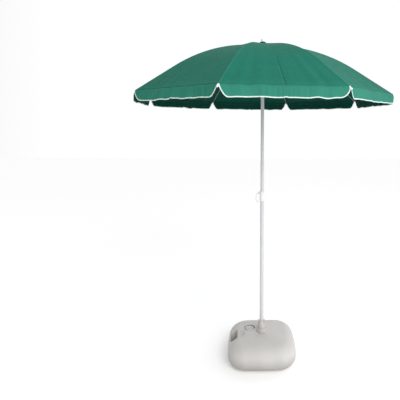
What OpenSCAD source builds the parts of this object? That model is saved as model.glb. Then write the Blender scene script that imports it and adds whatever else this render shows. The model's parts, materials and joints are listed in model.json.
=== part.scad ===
// Patio umbrella on a fillable base: eight ribs, a push-up runner, a two-part pole and a hollow plastic base.
// Origin on the floor under the pole axis, +Z up, the front of the umbrella faces -Y.

/* [Canopy] */
// Height of the rib pivots above the floor
rib_pin_z = 1968; // [1700:1:2300]
// Angle of the first rib from the front, towards +X
canopy_turn = -14.3; // [-22:0.1:22]
// Length of the straight inner stretch of a rib
rib_inner_l = 170; // [120:1:220]
// Length of the bent middle stretch of a rib
rib_bend_l = 420; // [340:1:520]
// Length of the straight outer stretch of a rib
rib_outer_l = 280; // [220:1:360]
// Slope of a rib below level where it leaves the crown
rib_slope_in = 9.5; // [6:0.5:14]
// Slope of a rib below level at its tip
rib_slope_out = 34.5; // [28:0.5:42]
// Diameter of the rib rod
rib_d = 4; // [3:0.1:6]
// Distance along a rib from its pivot to the stretcher rivet
rivet_at = 300; // [240:1:360]
// Cloth thickness
cloth_t = 1; // [0.6:0.1:2]
// Depth of the hanging valance
valance_h = 60; // [40:1:90]
// Width of the valance's rounded corners at the rib tips
valance_corner = 46; // [20:1:70]
// How far the cloth hollows between two ribs
cloth_sag = 9; // [0:1:25]

/* [Pole] */
// Diameter of the upper pole
upper_d = 22; // [18:0.5:30]
// How much wider the lower pole is than the upper pole
pole_step = 3; // [2.8:0.1:6]
// Wall of the upper tube
upper_wall = 0.8; // [0.6:0.1:1.2]
// Wall of the lower tube
lower_wall = 1; // [0.6:0.1:1.2]
// Height of the lower pole's top end
lower_top_z = 1005; // [850:1:1100]
// Height of the upper pole's bottom end
upper_bottom_z = 800; // [600:1:830]

/* [Lock] */
// Height of the lock collar
collar_h = 60; // [45:1:80]
// Wall of the lock collar around the lower pole
collar_wall = 3.4; // [2.8:0.1:8]
// Diameter of the lock screw
stud_d = 6; // [5:1:8]
// Thickness of the hook on the lock screw
hook_d = 7; // [5:0.5:9]

/* [Runner] */
// Height of the stretcher pivots in the runner when the canopy is open
runner_pin_z = 1680; // [1500:1:1730]
// Length of the runner's sleeve below its slotted flange
runner_sleeve_h = 40; // [30:1:60]
// Wall of the runner's sleeve
runner_wall = 3.2; // [2.4:0.1:5]
// Height of the runner's slotted flange
runner_flange_h = 10; // [8:1:16]

/* [Base] */
// Width of the base
base_w = 416; // [360:1:560]
// Height of the base without its socket
base_h = 145; // [136:1:200]
// Plan radius of the base's corners
base_corner = 116; // [90:1:120]
// Radius of the base's top edge
base_top_r = 75; // [50:1:80]
// Radius of the base's bottom edge
base_bottom_r = 55; // [30:1:60]
// Wall of the base
base_wall = 3.5; // [2.5:0.1:6]
// Turn of the base under the canopy
base_turn = 2; // [-45:1:45]
// Length of the carrying slot
handle_l = 110; // [90:1:130]
// Width of the carrying slot
handle_w = 41; // [30:1:44]
// Width of the bar outside the carrying slot
handle_bar = 14; // [12:1:30]
// Distance of the filler hole to the left of the pole
filler_x = 76; // [65:1:85]
// Distance of the filler hole behind the pole
filler_y = 46; // [40:1:105]
// Diameter of the filler hole
filler_d = 42; // [30:1:46]

/* [Socket] */
// Outside diameter of the pole socket
socket_d = 44; // [38:1:56]
// Height of the socket's top above the floor
socket_top_z = 215; // [200:1:260]
// Height of the clamp nut
nut_h = 25; // [18:1:30]
// How much wider the clamp nut is than the socket
nut_step = 14; // [12:1:30]

/* [Fits] */
// Radial clearance of a running fit
run_gap = 0.1; // [0.05:0.01:0.1]
// Gap between parts that slide or turn past each other
slide_gap = 0.3; // [0.3:0.05:0.6]
// Gap between parts fixed to each other
seat_gap = 0.05; // [0.02:0.01:0.1]

/* [Hidden] */
$fn = 48;
RIBS = 8;

// Crown and runner, measured from the pole's surface outwards
rib_step = 360 / RIBS;
pole_r = upper_d / 2;
lower_d = upper_d + pole_step;
crown_pin_r = pole_r + 5;
crown_r = crown_pin_r + 4;
crown_under = 6;
crown_over = 6.5;
crown_shank_h = 30;
pin_wire_r = 0.9;
eye_r = 3;
eye_t = 1.4;
eye_slot_w = eye_t + 1;
eye_room = 0.4;
tongue_lap = 2;
tongue_l = 14;
runner_r = pole_r + slide_gap + runner_wall;
runner_pin_r = runner_r + 4;
runner_flange_r = runner_pin_r + 3.5;

// Rib line in the plane of a rib: r outwards from the pole axis, z up
rib_turn = rib_slope_out - rib_slope_in;
rib_bend_r = rib_bend_l / rib_turn * 180 / PI;
rib_l = rib_inner_l + rib_bend_l + rib_outer_l;
// A bent stretch of rod is a shade thinner, so that its ends lie inside the straight stretches
bend_thin = 0.2;
bend_lap = 2;
function along(a) = [cos(a), -sin(a)];
function normal(a) = [sin(a), cos(a)];
rib_start = [crown_pin_r, rib_pin_z];
bend_start = rib_start + rib_inner_l * along(rib_slope_in);
bend_centre = bend_start - rib_bend_r * normal(rib_slope_in);
bend_end = bend_centre + rib_bend_r * normal(rib_slope_out);
function rib_slope(t) =
    rib_slope_in + rib_turn * min(max((t - rib_inner_l) / rib_bend_l, 0), 1);
function rib_point(t) =
    t < rib_inner_l ? rib_start + t * along(rib_slope_in)
    : t < rib_inner_l + rib_bend_l ? bend_centre + rib_bend_r * normal(rib_slope(t))
    : bend_end + (t - rib_inner_l - rib_bend_l) * along(rib_slope_out);

// Stretcher, from its rivet under the rib to its eye in the runner
rivet_d = 2.4;
rivet_drop = rib_d / 2 + 4;
ear_r = 3.4;
ear_gap = eye_t + 0.8;
clip_wall = 0.8;
clip_w = rib_d + 2 * clip_wall;
rivet_head = 0.8;
rivet_head_d = rivet_d + 1.8;
rivet_point = rib_point(rivet_at) - rivet_drop * normal(rib_slope(rivet_at));
runner_point = [runner_pin_r, runner_pin_z];
stretcher_l = norm(rivet_point - runner_point);
stretcher_slope = atan2(
    rivet_point[1] - runner_point[1],
    rivet_point[0] - runner_point[0]
);
channel_w = 5;
channel_h = 4;
channel_wall = 0.8;
channel_end = 4;

// Rib tip
tip_d = rib_d + 4.5;
tip_cover = 14;

// Cloth
cloth_gap = rib_d / 2 + 1.8;
cloth_rise = 5;
cloth_rise_l = 60;
cloth_start = -8;
cloth_end = rib_l - tip_cover - 2;
cloth_rows = 14;
cloth_columns = 14;
cloth_seam = 0.25;
valance_rows = 3;
valance_lean = 6;
valance_least = 0.9;
valance_clear = tip_d / 2 + 2;

// Top fittings
stud_r = 3;
hub_rise = cloth_rise * pow(1 - cloth_start / cloth_rise_l, 2);
top_cloth_z = rib_pin_z - sin(rib_slope_in) * cloth_start + cloth_gap + hub_rise + cloth_t;
washer_z = top_cloth_z + 0.5;
washer_t = 2;
washer_r = 18;
finial_z = washer_z + washer_t;
finial_r = 11;
finial_h = 22;

// Catch under the runner, at the back of the pole
catch_w = 3;
catch_h = 12;
catch_out = runner_wall;
catch_strip_t = 0.6;
catch_strip_l = 55;
catch_strip_in = 1.6;
catch_top_z = runner_pin_z - runner_flange_h / 2 - runner_sleeve_h - slide_gap;

// Lock
collar_r = lower_d / 2 + collar_wall;
collar_bottom_z = lower_top_z - collar_h / 2;
collar_top_z = lower_top_z + collar_h / 2;
lock_z = collar_top_z - 14;
boss_r = 8.5;
boss_x = collar_r + 2.5;
insert_r = stud_d / 2 + 1.6;
insert_x = collar_r + 1.5;
insert_l = insert_x - pole_r - slide_gap - 1.5;
hook_head_x = boss_x + slide_gap;
hook_head_l = 5;
hook_head_d = stud_d + 6;
hook_bend_r = 13;
hook_drop = 23;
hook_curl_r = 26;
hook_curl = 48;
hook_lap = 0.8;

// Base
base_half = base_w / 2;
corner_at = base_half - base_corner;
well_r = socket_d / 2 + seat_gap;
floor_t = 4;
socket_floor_t = 3;
neck_recess_r = filler_d / 2 + 9;
neck_recess_h = 10;
seal_t = 1.5;
cap_t = 6;
cap_floor_z = base_h - neck_recess_h;
cap_rim_r = neck_recess_r - 2;
cap_plug_h = 12;
cap_plug_wall = 3;
cap_grip_w = 6;
cap_grip_h = 5;
handle_x = base_half - handle_bar - handle_w / 2;
handle_y = -10;
foot_h = 6;
foot_plug_h = 24;
bush_head_h = 8;
bush_plug_h = 25;
foot_z = floor_t + socket_floor_t + slide_gap;
lower_bottom_z = foot_z + foot_h;
thread_r = socket_d / 2 + 1.4;
nut_d = socket_d + nut_step;
thread_pitch = 6;
thread_t = 1.8;
nut_z = base_h + 0.5;
nut_grips = 16;
nut_grip_r = 2;
slit_w = 7;
slit_h = 17;
socket_mouth_r = lower_d / 2 + 4.5;

module at_rib(i) {
    rotate([0, 0, canopy_turn - 90 + (i - 1) * rib_step]) children();
}

// Puts a shape that is drawn in x and y into the plane of the rib, x outwards and y up
module upright() {
    rotate([90, 0, 0]) children();
}

module tube(outer_r, inner_r, h) {
    difference() {
        cylinder(r = outer_r, h = h);
        translate([0, 0, -1]) cylinder(r = inner_r, h = h + 2);
    }
}

// Side of the base: a top and a bottom edge arc with an upright side between them
module base_profile(reach, top_r, bottom_r, low, high) {
    intersection() {
        union() {
            square([reach - top_r, high]);
            translate([reach - top_r, high - top_r]) circle(r = top_r);
            translate([0, bottom_r + low]) square([reach, high - top_r - bottom_r - low]);
            translate([reach - bottom_r, bottom_r + low]) circle(r = bottom_r);
            square([reach - bottom_r, bottom_r + low]);
        }
        translate([0, low]) square([reach, high - low]);
    }
}

// Solid base: four turned corners, four straight sides and a middle block
module base_form(inset) {
    reach = base_corner - inset;
    low = inset > 0 ? inset : 0;
    high = base_h - inset;
    for (q = [0:3]) {
        rotate([0, 0, 90 * q]) {
            translate([corner_at, corner_at, 0])
                rotate_extrude(angle = 90)
                    base_profile(reach, base_top_r - inset, base_bottom_r - inset, low, high);
            translate([corner_at, corner_at, 0])
                rotate([90, 0, 0])
                    linear_extrude(height = 2 * corner_at)
                        base_profile(reach, base_top_r - inset, base_bottom_r - inset, low, high);
        }
    }
    translate([-corner_at, -corner_at, low]) cube([2 * corner_at, 2 * corner_at, high - low]);
}

// Round-ended slot outline, long side along y
module slot_outline(w, l) {
    square([w, l - w], center = true);
    for (s = [-1, 1]) translate([0, s * (l - w) / 2]) circle(r = w / 2);
}

module at_handle(low, high, grow) {
    translate([-handle_x, handle_y, low])
        linear_extrude(height = high - low)
            slot_outline(handle_w + 2 * grow, handle_l + 2 * grow);
}

module at_filler() {
    translate([-filler_x, filler_y, 0]) children();
}

module base_tank() {
    color([0.80, 0.78, 0.75])
        rotate([0, 0, base_turn])
            difference() {
                base_form(0);
                difference() {
                    base_form(base_wall);
                    cylinder(r = well_r + base_wall, h = base_h);
                    at_handle(0, base_h, base_wall);
                    at_filler()
                        translate([0, 0, base_h - neck_recess_h - base_wall])
                            cylinder(r = neck_recess_r + base_wall, h = base_h);
                }
                translate([0, 0, floor_t]) cylinder(r = well_r, h = base_h);
                at_handle(-1, base_h + 1, 0);
                at_filler() {
                    translate([0, 0, base_h - neck_recess_h]) cylinder(r = neck_recess_r, h = base_h);
                    translate([0, 0, base_h / 2]) cylinder(d = filler_d, h = base_h);
                }
            }
}

// Split and threaded tube that the pole stands in
module socket_sleeve() {
    color([0.83, 0.81, 0.80])
        difference() {
            union() {
                translate([0, 0, floor_t]) cylinder(d = socket_d, h = socket_top_z - floor_t);
                for (z = [nut_z + 2:thread_pitch:socket_top_z - 14])
                    translate([0, 0, z]) cylinder(r = thread_r, h = thread_t);
            }
            translate([0, 0, floor_t + socket_floor_t])
                cylinder(r = lower_d / 2 + run_gap, h = socket_top_z);
            translate([0, 0, socket_top_z - slit_h])
                cylinder(r = socket_mouth_r, h = slit_h + 1);
            for (q = [0:3])
                rotate([0, 0, 45 + 90 * q])
                    translate([0, -slit_w / 2, socket_top_z - slit_h])
                        cube([socket_d, slit_w, slit_h + 1]);
        }
}

module clamp_nut() {
    color([0.84, 0.82, 0.81])
        translate([0, 0, nut_z])
            difference() {
                union() {
                    cylinder(d = nut_d - nut_grip_r, h = nut_h);
                    for (g = [0:nut_grips - 1])
                        rotate([0, 0, g * 360 / nut_grips])
                            translate([nut_d / 2 - nut_grip_r, 0, 2])
                                cylinder(r = nut_grip_r, h = nut_h - 4);
                }
                translate([0, 0, -1]) cylinder(r = thread_r + slide_gap, h = nut_h + 2);
            }
}

module at_cap() {
    rotate([0, 0, base_turn]) at_filler() children();
}

module filler_cap() {
    color([0.80, 0.79, 0.76])
        at_cap()
            difference() {
                union() {
                    translate([0, 0, cap_floor_z + seal_t])
                        cylinder(r = cap_rim_r, h = cap_t);
                    translate([0, 0, cap_floor_z - cap_plug_h])
                        cylinder(r = filler_d / 2 - slide_gap, h = cap_plug_h + seal_t + 1);
                    translate([-filler_d / 2, -cap_grip_w / 2, cap_floor_z + seal_t])
                        cube([filler_d, cap_grip_w, cap_t + cap_grip_h]);
                }
                translate([0, 0, cap_floor_z - cap_plug_h - 1])
                    cylinder(r = filler_d / 2 - cap_plug_wall, h = cap_plug_h);
            }
}

module filler_seal() {
    color([0.15, 0.15, 0.15])
        at_cap()
            translate([0, 0, cap_floor_z + seat_gap])
                tube(cap_rim_r - 1, filler_d / 2 + seat_gap, seal_t - 2 * seat_gap);
}

module lower_pole() {
    color([0.93, 0.94, 0.94])
        translate([0, 0, lower_bottom_z])
            tube(lower_d / 2, lower_d / 2 - lower_wall, lower_top_z - lower_bottom_z);
}

module pole_foot() {
    color([0.25, 0.25, 0.26]) {
        translate([0, 0, foot_z]) cylinder(d = lower_d, h = foot_h);
        translate([0, 0, foot_z])
            cylinder(r = lower_d / 2 - lower_wall - seat_gap, h = foot_h + foot_plug_h);
    }
}

// Plastic collar that holds the lower pole and carries the lock screw
module lock_collar() {
    color([0.93, 0.93, 0.92])
        difference() {
            union() {
                translate([0, 0, collar_bottom_z]) cylinder(r = collar_r, h = collar_h);
                translate([0, 0, lock_z])
                    rotate([0, -90, 0])
                        cylinder(r = boss_r, h = boss_x);
            }
            translate([0, 0, collar_bottom_z - 1])
                cylinder(r = lower_d / 2 + seat_gap, h = collar_h / 2 + 1);
            translate([0, 0, collar_bottom_z]) cylinder(r = pole_r + slide_gap, h = collar_h + 1);
            translate([0, 0, lock_z])
                rotate([0, -90, 0])
                    cylinder(r = stud_d / 2 + run_gap, h = boss_x + 1);
            translate([-insert_x, 0, lock_z])
                rotate([0, 90, 0])
                    cylinder(r = insert_r + seat_gap, h = insert_l);
            translate([0, 0, lock_z])
                rotate([0, -90, 0])
                    translate([0, 0, insert_x - 1])
                        cylinder(r = insert_r + seat_gap, h = boss_x);
        }
}

module lock_insert() {
    color([0.80, 0.66, 0.35])
        translate([-insert_x, 0, lock_z])
            rotate([0, 90, 0])
                tube(insert_r, stud_d / 2 + run_gap, insert_l - seat_gap);
}

module lock_stud() {
    color([0.75, 0.76, 0.78])
        translate([-(pole_r + slide_gap), 0, lock_z])
            rotate([0, -90, 0])
                cylinder(d = stud_d, h = hook_head_x + hook_head_l - pole_r - slide_gap);
}

module lock_hook() {
    color([0.94, 0.94, 0.93])
        difference() {
            translate([-hook_head_x, 0, lock_z]) {
                rotate([0, -90, 0]) cylinder(d = hook_head_d, h = hook_head_l + 2);
                translate([-hook_head_l, 0, -hook_bend_r])
                    upright()
                        rotate([0, 0, 90])
                            rotate_extrude(angle = 90)
                                translate([hook_bend_r, 0]) circle(d = hook_d - bend_thin);
                translate([-hook_head_l - hook_bend_r, 0, -hook_bend_r - hook_drop]) {
                    translate([0, 0, -hook_lap]) cylinder(d = hook_d, h = hook_drop + 2 * hook_lap);
                    translate([hook_curl_r, 0, 0])
                        upright()
                            rotate([0, 0, 180])
                                rotate_extrude(angle = hook_curl)
                                    translate([hook_curl_r, 0]) circle(d = hook_d - bend_thin);
                    translate([hook_curl_r * (1 - cos(hook_curl)), 0, -hook_curl_r * sin(hook_curl)])
                        sphere(d = hook_d);
                }
            }
            translate([0, 0, lock_z])
                rotate([0, -90, 0])
                    cylinder(r = stud_d / 2 + seat_gap, h = hook_head_x + hook_head_l + seat_gap);
        }
}

module upper_pole() {
    color([0.94, 0.95, 0.95])
        difference() {
            translate([0, 0, upper_bottom_z])
                tube(pole_r, pole_r - upper_wall, rib_pin_z - crown_under - upper_bottom_z);
            translate([-catch_w / 2 - slide_gap, 0, catch_top_z - catch_h - slide_gap])
                cube([catch_w + 2 * slide_gap, pole_r + 1, catch_h + 2 * slide_gap]);
        }
}

module pole_bush() {
    color([0.90, 0.90, 0.90]) {
        translate([0, 0, upper_bottom_z - bush_head_h]) {
            cylinder(r = lower_d / 2 - lower_wall - slide_gap, h = bush_head_h);
            cylinder(r = pole_r - upper_wall - seat_gap, h = bush_head_h + bush_plug_h);
        }
    }
}

// Ring of slots for the rib or stretcher eyes, and a groove for the wire they hang on
module eye_slots(inner_r, outer_r, low, high, pin_r, pin_z) {
    for (i = [1:RIBS])
        at_rib(i)
            translate([inner_r, -eye_slot_w / 2, low])
                cube([outer_r - inner_r, eye_slot_w, high - low]);
    translate([0, 0, pin_z])
        rotate_extrude()
            translate([pin_r, 0]) circle(r = pin_wire_r + seat_gap);
}

module crown() {
    color([0.92, 0.92, 0.91])
        difference() {
            union() {
                translate([0, 0, rib_pin_z - crown_under])
                    cylinder(r = crown_r, h = crown_under + crown_over);
                translate([0, 0, rib_pin_z - crown_under - crown_shank_h])
                    cylinder(r = pole_r - upper_wall - seat_gap, h = crown_shank_h + 1);
            }
            eye_slots(
                crown_pin_r - eye_r - eye_room, crown_r + 1,
                rib_pin_z - crown_under - 1, rib_pin_z + eye_r + eye_room,
                crown_pin_r, rib_pin_z
            );
            translate([0, 0, rib_pin_z - crown_under])
                cylinder(r = stud_r + seat_gap, h = crown_under + crown_over + 1);
        }
}

module crown_ring() {
    color([0.72, 0.73, 0.75])
        translate([0, 0, rib_pin_z])
            rotate_extrude()
                translate([crown_pin_r, 0]) circle(r = pin_wire_r);
}

module top_washer() {
    color([0.94, 0.94, 0.93])
        translate([0, 0, washer_z]) tube(washer_r, stud_r + seat_gap, washer_t);
}

module finial() {
    color([0.95, 0.95, 0.94]) {
        translate([0, 0, finial_z]) {
            cylinder(r = finial_r, h = finial_h - finial_r);
            translate([0, 0, finial_h - finial_r]) sphere(r = finial_r);
        }
        translate([0, 0, rib_pin_z - crown_under + 1])
            cylinder(r = stud_r, h = finial_z - rib_pin_z + crown_under);
    }
}

module runner() {
    color([0.92, 0.92, 0.91])
        difference() {
            union() {
                translate([0, 0, runner_pin_z - runner_flange_h / 2])
                    cylinder(r = runner_flange_r, h = runner_flange_h);
                translate([0, 0, runner_pin_z - runner_flange_h / 2 - runner_sleeve_h])
                    cylinder(r = runner_r, h = runner_sleeve_h + 1);
            }
            translate([0, 0, runner_pin_z - runner_flange_h / 2 - runner_sleeve_h - 1])
                cylinder(r = pole_r + slide_gap, h = runner_sleeve_h + runner_flange_h + 2);
            eye_slots(
                runner_pin_r - eye_r - eye_room, runner_flange_r + 1,
                runner_pin_z - runner_flange_h / 2 - 1, runner_pin_z + runner_flange_h / 2 + 1,
                runner_pin_r, runner_pin_z
            );
        }
}

// The wire is only the stretches inside the flange, so that the stretcher eyes are free of it
module runner_ring() {
    color([0.72, 0.73, 0.75])
        difference() {
            translate([0, 0, runner_pin_z])
                rotate_extrude()
                    translate([runner_pin_r, 0]) circle(r = pin_wire_r);
            for (i = [1:RIBS])
                at_rib(i)
                    translate([runner_pin_r - eye_r, -eye_slot_w / 2, runner_pin_z - eye_r])
                        cube([2 * eye_r, eye_slot_w, 2 * eye_r]);
        }
}

// Sprung strip inside the pole with a nose that stands out under the runner
module catch_spring() {
    strip_in = pole_r - upper_wall - catch_strip_in;
    nose_out = pole_r + catch_out;
    color([0.70, 0.71, 0.73])
        rotate([0, 0, 90])
            translate([0, catch_w / 2, 0])
                upright()
                    linear_extrude(height = catch_w)
                        polygon([
                            [strip_in, catch_top_z],
                            [nose_out, catch_top_z],
                            [nose_out, catch_top_z - catch_h / 4],
                            [strip_in + catch_strip_t, catch_top_z - catch_h],
                            [strip_in + catch_strip_t, catch_top_z - catch_strip_l],
                            [strip_in, catch_top_z - catch_strip_l]
                        ]);
}

// Flat eye at the origin with its tongue along +x
module eye_plate(r, l, hole_r) {
    translate([0, eye_t / 2, 0])
        upright()
            linear_extrude(height = eye_t)
                difference() {
                    union() {
                        circle(r = r);
                        translate([0, -r * 0.75]) square([l, r * 1.5]);
                    }
                    if (hole_r > 0) circle(r = hole_r);
                }
}

module rib(i) {
    color([0.62, 0.64, 0.66])
        at_rib(i) {
            translate([rib_start[0], 0, rib_start[1]])
                rotate([0, rib_slope_in, 0]) {
                    eye_plate(eye_r, tongue_l, pin_wire_r + run_gap);
                    rotate([0, 90, 0])
                        translate([0, 0, tongue_l - tongue_lap])
                            cylinder(d = rib_d, h = rib_inner_l - tongue_l + tongue_lap + bend_lap);
                }
            translate([bend_centre[0], 0, bend_centre[1]])
                upright()
                    rotate([0, 0, 90 - rib_slope_out])
                        rotate_extrude(angle = rib_turn)
                            translate([rib_bend_r, 0]) circle(d = rib_d - bend_thin);
            translate([bend_end[0], 0, bend_end[1]])
                rotate([0, 90 + rib_slope_out, 0])
                    translate([0, 0, -bend_lap])
                        cylinder(d = rib_d, h = rib_outer_l + bend_lap);
        }
}

// Clip round the rod, with two ears below it and the rivet through them
module rib_clip(i) {
    color([0.70, 0.71, 0.73])
        at_rib(i)
            translate([rivet_point[0], 0, rivet_point[1]])
                rotate([0, rib_slope(rivet_at), 0]) {
                    difference() {
                        translate([-ear_r, -clip_w / 2, 0])
                            cube([2 * ear_r, clip_w, rivet_drop + rib_d / 2 + clip_wall]);
                        translate([-ear_r - 1, -ear_gap / 2, -1])
                            cube([2 * ear_r + 2, ear_gap, rivet_drop + 1]);
                        translate([0, 0, rivet_drop])
                            rotate([0, 90, 0])
                                cylinder(r = rib_d / 2 + seat_gap, h = 3 * ear_r, center = true);
                    }
                    for (s = [-1, 1])
                        translate([0, s * (ear_gap + clip_w) / 4, 0])
                            rotate([90, 0, 0])
                                cylinder(r = ear_r, h = (clip_w - ear_gap) / 2, center = true);
                    rotate([90, 0, 0])
                        cylinder(d = rivet_d, h = clip_w + 2 * rivet_head, center = true);
                    for (s = [-1, 1])
                        translate([0, s * (clip_w + rivet_head) / 2, 0])
                            rotate([90, 0, 0])
                                cylinder(d = rivet_head_d, h = rivet_head, center = true);
                }
}

module rib_tip(i) {
    color([0.96, 0.96, 0.95])
        at_rib(i)
            translate([bend_end[0], 0, bend_end[1]])
                rotate([0, 90 + rib_slope_out, 0])
                    translate([0, 0, rib_outer_l])
                        difference() {
                            union() {
                                translate([0, 0, -tip_cover]) cylinder(d = tip_d, h = tip_cover + 1);
                                translate([0, 0, 1]) sphere(d = tip_d);
                            }
                            translate([0, 0, -tip_cover - 1])
                                cylinder(r = rib_d / 2 + seat_gap, h = tip_cover + 1 + seat_gap);
                        }
}

// Channel-section stretcher with a flat eye at each end
module stretcher(i) {
    color([0.62, 0.64, 0.66])
        at_rib(i)
            translate([rivet_point[0], 0, rivet_point[1]])
                rotate([0, 180 - stretcher_slope, 0]) {
                    eye_plate(ear_r, tongue_l, rivet_d / 2 + run_gap);
                    translate([stretcher_l, 0, 0])
                        rotate([0, 0, 180])
                            eye_plate(eye_r, tongue_l, 0);
                    translate([tongue_l - channel_end, -channel_w / 2, -channel_h / 2])
                        difference() {
                            cube([stretcher_l - 2 * (tongue_l - channel_end), channel_w, channel_h]);
                            translate([channel_end, channel_wall, channel_wall])
                                cube([
                                    stretcher_l - 2 * tongue_l,
                                    channel_w - 2 * channel_wall,
                                    channel_h
                                ]);
                        }
                }
}

// One gore of cloth, centred on its rib, as a thin closed shell with its share of the valance
function cloth_lift(t) =
    cloth_gap + cloth_rise * pow(max(0, 1 - t / cloth_rise_l), 2);
function cloth_t_at(row) =
    cloth_start + (cloth_end - cloth_start) * min(row / cloth_rows, 1);
function side_angle(v) = v * rib_step / 2;
function chord(v) = cos(rib_step / 2) / cos(rib_step / 2 - abs(side_angle(v)));
function hollow(t, v) =
    cloth_sag * sin(180 * min(max(t / rib_l, 0), 1)) * sin(90 * abs(v));
function valance_drop(v) =
    let (
        side = abs(v) * rib_point(cloth_end)[0] * tan(rib_step / 2),
        part = min(max((side - valance_clear) / valance_corner, 0), 1)
    )
    valance_least + (valance_h - valance_least) * sin(90 * part);
function cloth_point(row, v, lift) =
    let (
        t = cloth_t_at(row),
        a = rib_slope(t),
        p = rib_point(t) + (cloth_lift(t) + lift) * normal(a) - [0, hollow(t, v)],
        hang = max(0, row - cloth_rows) / valance_rows,
        drop = valance_drop(v) * hang,
        q = p + [(valance_lean * drop / valance_h) + lift * (hang > 0 ? 0.5 : 0), -drop],
        r = q[0] * chord(v),
        edge = cloth_seam * v
    )
    [
        r * cos(side_angle(v)) + edge * sin(rib_step / 2) * abs(v),
        r * sin(side_angle(v)) - edge * cos(rib_step / 2),
        q[1]
    ];
// Place of a column across the gore, -1 to 1, with the columns closest together at the rib
function column_place(c) =
    let (u = 2 * c / cloth_columns - 1)
    u * abs(u);
all_rows = cloth_rows + valance_rows;
side_points = cloth_columns + 1;
layer_points = (all_rows + 1) * side_points;
function cloth_layer(lift) = [
    for (row = [0:all_rows])
        for (c = [0:cloth_columns])
            cloth_point(row, column_place(c), lift)
];
function at(row, c, layer) = layer * layer_points + row * side_points + c;
function quad(a, b, c, d) = [[a, b, c], [a, c, d]];
cloth_faces = [
    for (row = [0:all_rows - 1], c = [0:cloth_columns - 1])
        each concat(
            quad(at(row, c, 1), at(row, c + 1, 1), at(row + 1, c + 1, 1), at(row + 1, c, 1)),
            quad(at(row, c, 0), at(row + 1, c, 0), at(row + 1, c + 1, 0), at(row, c + 1, 0))
        ),
    for (row = [0:all_rows - 1])
        each concat(
            quad(at(row, 0, 0), at(row, 0, 1), at(row + 1, 0, 1), at(row + 1, 0, 0)),
            quad(
                at(row, cloth_columns, 1), at(row, cloth_columns, 0),
                at(row + 1, cloth_columns, 0), at(row + 1, cloth_columns, 1)
            )
        ),
    for (c = [0:cloth_columns - 1])
        each concat(
            quad(at(0, c, 0), at(0, c + 1, 0), at(0, c + 1, 1), at(0, c, 1)),
            quad(
                at(all_rows, c, 1), at(all_rows, c + 1, 1),
                at(all_rows, c + 1, 0), at(all_rows, c, 0)
            )
        )
];

module canopy(i) {
    color([0.10, 0.42, 0.34])
        at_rib(i)
            polyhedron(
                points = concat(cloth_layer(0), cloth_layer(cloth_t)),
                faces = cloth_faces,
                convexity = 6
            );
}

base_tank();
socket_sleeve();
clamp_nut();
filler_cap();
filler_seal();
lower_pole();
pole_foot();
lock_collar();
lock_insert();
lock_hook();
lock_stud();
upper_pole();
pole_bush();
crown();
crown_ring();
top_washer();
finial();
runner();
runner_ring();
catch_spring();
for (i = [1:RIBS]) {
    rib(i);
    rib_tip(i);
    rib_clip(i);
    stretcher(i);
    canopy(i);
}
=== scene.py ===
"""Looks of a patio umbrella on a fillable base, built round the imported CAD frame, in metres."""

import json
import math

import bmesh
import bpy
import numpy as np
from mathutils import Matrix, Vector


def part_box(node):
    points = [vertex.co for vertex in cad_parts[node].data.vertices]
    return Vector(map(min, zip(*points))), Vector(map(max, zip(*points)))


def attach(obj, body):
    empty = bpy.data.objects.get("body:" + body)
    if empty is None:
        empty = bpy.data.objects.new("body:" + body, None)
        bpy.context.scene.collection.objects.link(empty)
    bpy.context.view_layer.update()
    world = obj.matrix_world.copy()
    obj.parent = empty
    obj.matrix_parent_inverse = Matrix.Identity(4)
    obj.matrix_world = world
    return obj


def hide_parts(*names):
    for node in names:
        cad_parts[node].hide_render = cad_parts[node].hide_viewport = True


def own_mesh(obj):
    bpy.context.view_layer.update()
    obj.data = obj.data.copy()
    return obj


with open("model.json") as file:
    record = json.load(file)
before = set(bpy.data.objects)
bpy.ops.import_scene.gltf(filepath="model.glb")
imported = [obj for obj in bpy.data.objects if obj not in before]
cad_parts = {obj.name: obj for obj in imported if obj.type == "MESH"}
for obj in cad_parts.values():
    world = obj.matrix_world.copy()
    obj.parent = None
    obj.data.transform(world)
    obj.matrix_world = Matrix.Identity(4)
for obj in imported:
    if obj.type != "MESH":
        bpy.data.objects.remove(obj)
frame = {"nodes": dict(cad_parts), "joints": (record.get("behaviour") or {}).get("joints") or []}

# ---------------------------------------------------------------- places taken from the frame
JOINTS = {j["name"]: j for j in frame["joints"]}
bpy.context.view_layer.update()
RIBS = 8
STEP = 2 * math.pi / RIBS
HALF = STEP / 2

pin = JOINTS["rib_1_fold"]["pos_m"]
PIN_R = math.hypot(pin[0], pin[1])
PIN_Z = pin[2]
FIRST_RIB = math.atan2(pin[0], -pin[1])

# Rib line in the plane of a rib: a straight stretch, a bend and a straight stretch
RIB_IN, RIB_BEND, RIB_OUT = 0.170, 0.420, 0.280
SLOPE_IN, SLOPE_OUT = math.radians(9.5), math.radians(34.5)
BEND_R = RIB_BEND / (SLOPE_OUT - SLOPE_IN)
RIB_L = RIB_IN + RIB_BEND + RIB_OUT

# Cloth
CLOTH_START, CLOTH_END = -0.008, RIB_L - 0.016
CLOTH_GAP, CLOTH_RISE, CLOTH_RISE_L = 0.0038, 0.005, 0.060
CLOTH_T = 0.0008
CLOTH_SAG = 0.009
SEAM_HALF, SEAM_HIGH, SEAM_EDGE = 0.0045, 0.0007, 0.0012
RIPPLE_HIGH, GATHER_HIGH = 0.0013, 0.0012
VALANCE_H = 0.058
CORNER_W, CORNER_BEND = 0.045, 0.95
# Width and bend of the valance's corners that differ, by rib and side
CORNERS = {
    (2, -1): (0.062, 0.55), (2, 1): (0.024, 0.9), (3, 1): (0.038, 0.8),
    (8, -1): (0.034, 0.8), (8, 1): (0.060, 0.9),
}
VALANCE_LEAN = 0.006
# The valance turns down over the canopy's edge within this drop, and moves out by this share
VALANCE_TURN, VALANCE_OUT = 0.018, 0.45
SEWN_EDGE = 0.0008
HEM_WAVE, HEM_FLOW = 0.0013, 0.0035
# Where two gores meet, the hem rises a little
MEETING_RISE, MEETING_HALF = 0.0030, 0.008
BINDING_W, BINDING_T = 0.0056, 0.0018

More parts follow.
